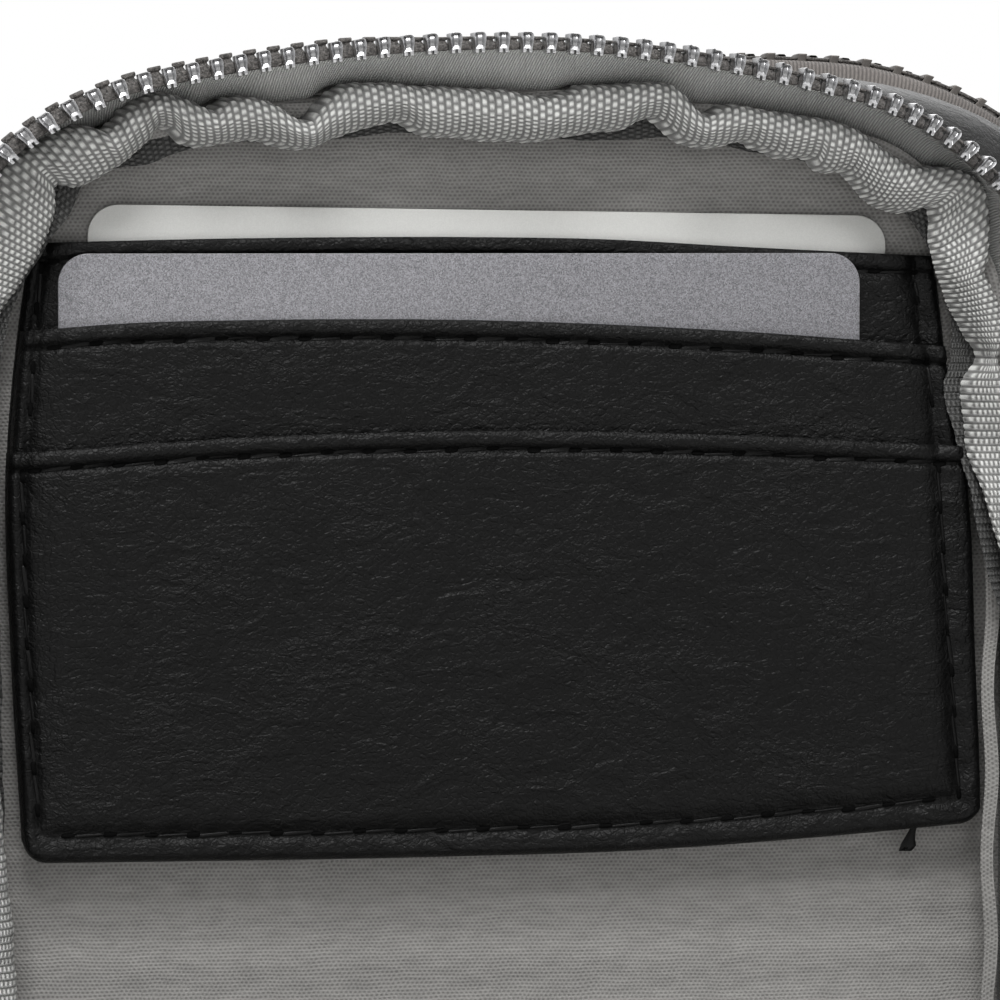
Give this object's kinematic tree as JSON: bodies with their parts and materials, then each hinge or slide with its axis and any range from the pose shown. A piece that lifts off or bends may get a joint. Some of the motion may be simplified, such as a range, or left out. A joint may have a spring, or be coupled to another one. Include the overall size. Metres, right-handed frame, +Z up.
{
  "type": "mini zip bag",
  "caption": "Small two-compartment zip bag standing up, front compartment opened flat to show a leather card pocket on a grey lining.",
  "frame": {"origin": "middle of the underside of the band round the middle panel, on the surface that the bag stands on", "axes": "+Z up, +Y from the opened front compartment towards the back panel, +X to the right seen from the front"},
  "size_m": [0.1316, 0.2371, 0.1815],
  "materials": {
    "black_leather": "fine grained, satin",
    "pocket_leather": "fine grained, matt",
    "grey_nylon": "plain woven lining with a slight sheen",
    "grey_ribbon": "ribbed ribbon",
    "grey_tape": "finely ribbed zip tape",
    "board": "foam board, hidden between the sheets",
    "nickel": "bright plated metal",
    "white_plastic": "satin card",
    "silver_plastic": "satin card with a metallic print"
  },
  "bodies": {
    "middle": {"middle_stiffener": "board", "main_lining": "grey_nylon", "rear_lining": "grey_nylon", "middle_band": "black_leather", "pocket_back_layer": "pocket_leather", "pocket_middle_layer": "pocket_leather", "pocket_front_layer": "pocket_leather", "main_zip_tape_inner": "grey_tape", "main_zip_teeth_inner": "nickel", "main_binding_inner": "grey_ribbon", "main_end_stop": "nickel", "main_top_stop_inner": "nickel", "main_gusset": "black_leather", "main_gusset_lining": "grey_nylon", "rear_zip_tape_inner": "grey_tape", "rear_zip_teeth_inner": "nickel", "rear_binding_inner": "grey_ribbon", "rear_end_stop": "nickel", "rear_top_stop_inner": "nickel", "rear_gusset": "black_leather", "rear_gusset_lining": "grey_nylon", "left_strap_tab": "black_leather", "right_strap_tab": "black_leather"},
    "front_flap": {"front_lining": "grey_nylon", "front_stiffener": "board", "front_panel": "black_leather", "front_piping": "black_leather", "main_zip_tape_outer": "grey_tape", "main_zip_teeth_outer": "nickel", "main_binding_outer": "grey_ribbon", "main_top_stop_outer": "nickel"},
    "back_flap": {"back_lining": "grey_nylon", "back_stiffener": "board", "back_panel": "black_leather", "back_piping": "black_leather", "rear_zip_tape_outer": "grey_tape", "rear_zip_teeth_outer": "nickel", "rear_binding_outer": "grey_ribbon", "rear_top_stop_outer": "nickel"},
    "main_slider": {"main_slider": "nickel"},
    "main_puller": {"main_puller": "nickel"},
    "rear_slider": {"rear_slider": "nickel"},
    "rear_puller": {"rear_puller": "nickel"},
    "left_ring": {"left_d_ring": "nickel"},
    "right_ring": {"right_d_ring": "nickel"},
    "white_card": {"white_card": "white_plastic"},
    "silver_card": {"silver_card": "silver_plastic"}
  },
  "joints": [
    {"name": "front_flap_hinge", "type": "hinge", "parent": "middle", "child": "front_flap", "pos_m": [0, -0.0278, 0.0013], "axis": [-1, 0, 0], "range_deg": [0, 90]},
    {"name": "back_flap_hinge", "type": "hinge", "parent": "middle", "child": "back_flap", "pos_m": [0, 0.0278, 0.0013], "axis": [-1, 0, 0], "range_deg": [0, 90]},
    {"name": "main_slider_run", "type": "slide", "parent": "middle", "child": "main_slider", "axis": [0, 0, 1], "range_m": [0, 0.11]},
    {"name": "main_puller_swing", "type": "hinge", "parent": "main_slider", "child": "main_puller", "pos_m": [-0.0633, -0.0133, 0.03], "axis": [0, 1, 0], "range_deg": [0, 175]},
    {"name": "rear_slider_run", "type": "slide", "parent": "middle", "child": "rear_slider", "axis": [0, 0, 1], "range_m": [0, 0.11]},
    {"name": "rear_puller_swing", "type": "hinge", "parent": "rear_slider", "child": "rear_puller", "pos_m": [0.0633, 0.0133, 0.03], "axis": [0, -1, 0], "range_deg": [0, 175]},
    {"name": "left_ring_swing", "type": "hinge", "parent": "middle", "child": "left_ring", "pos_m": [-0.0634, 0, 0.14004], "axis": [0, 1, 0], "range_deg": [-5, 150]},
    {"name": "right_ring_swing", "type": "hinge", "parent": "middle", "child": "right_ring", "pos_m": [0.0634, 0, 0.14004], "axis": [0, -1, 0], "range_deg": [-5, 150]},
    {"name": "white_card_lift", "type": "slide", "parent": "middle", "child": "white_card", "axis": [0, 0, 1], "range_m": [0, 0.007]},
    {"name": "silver_card_lift", "type": "slide", "parent": "middle", "child": "silver_card", "axis": [0, 0, 1], "range_m": [0, 0.01]}
  ]
}
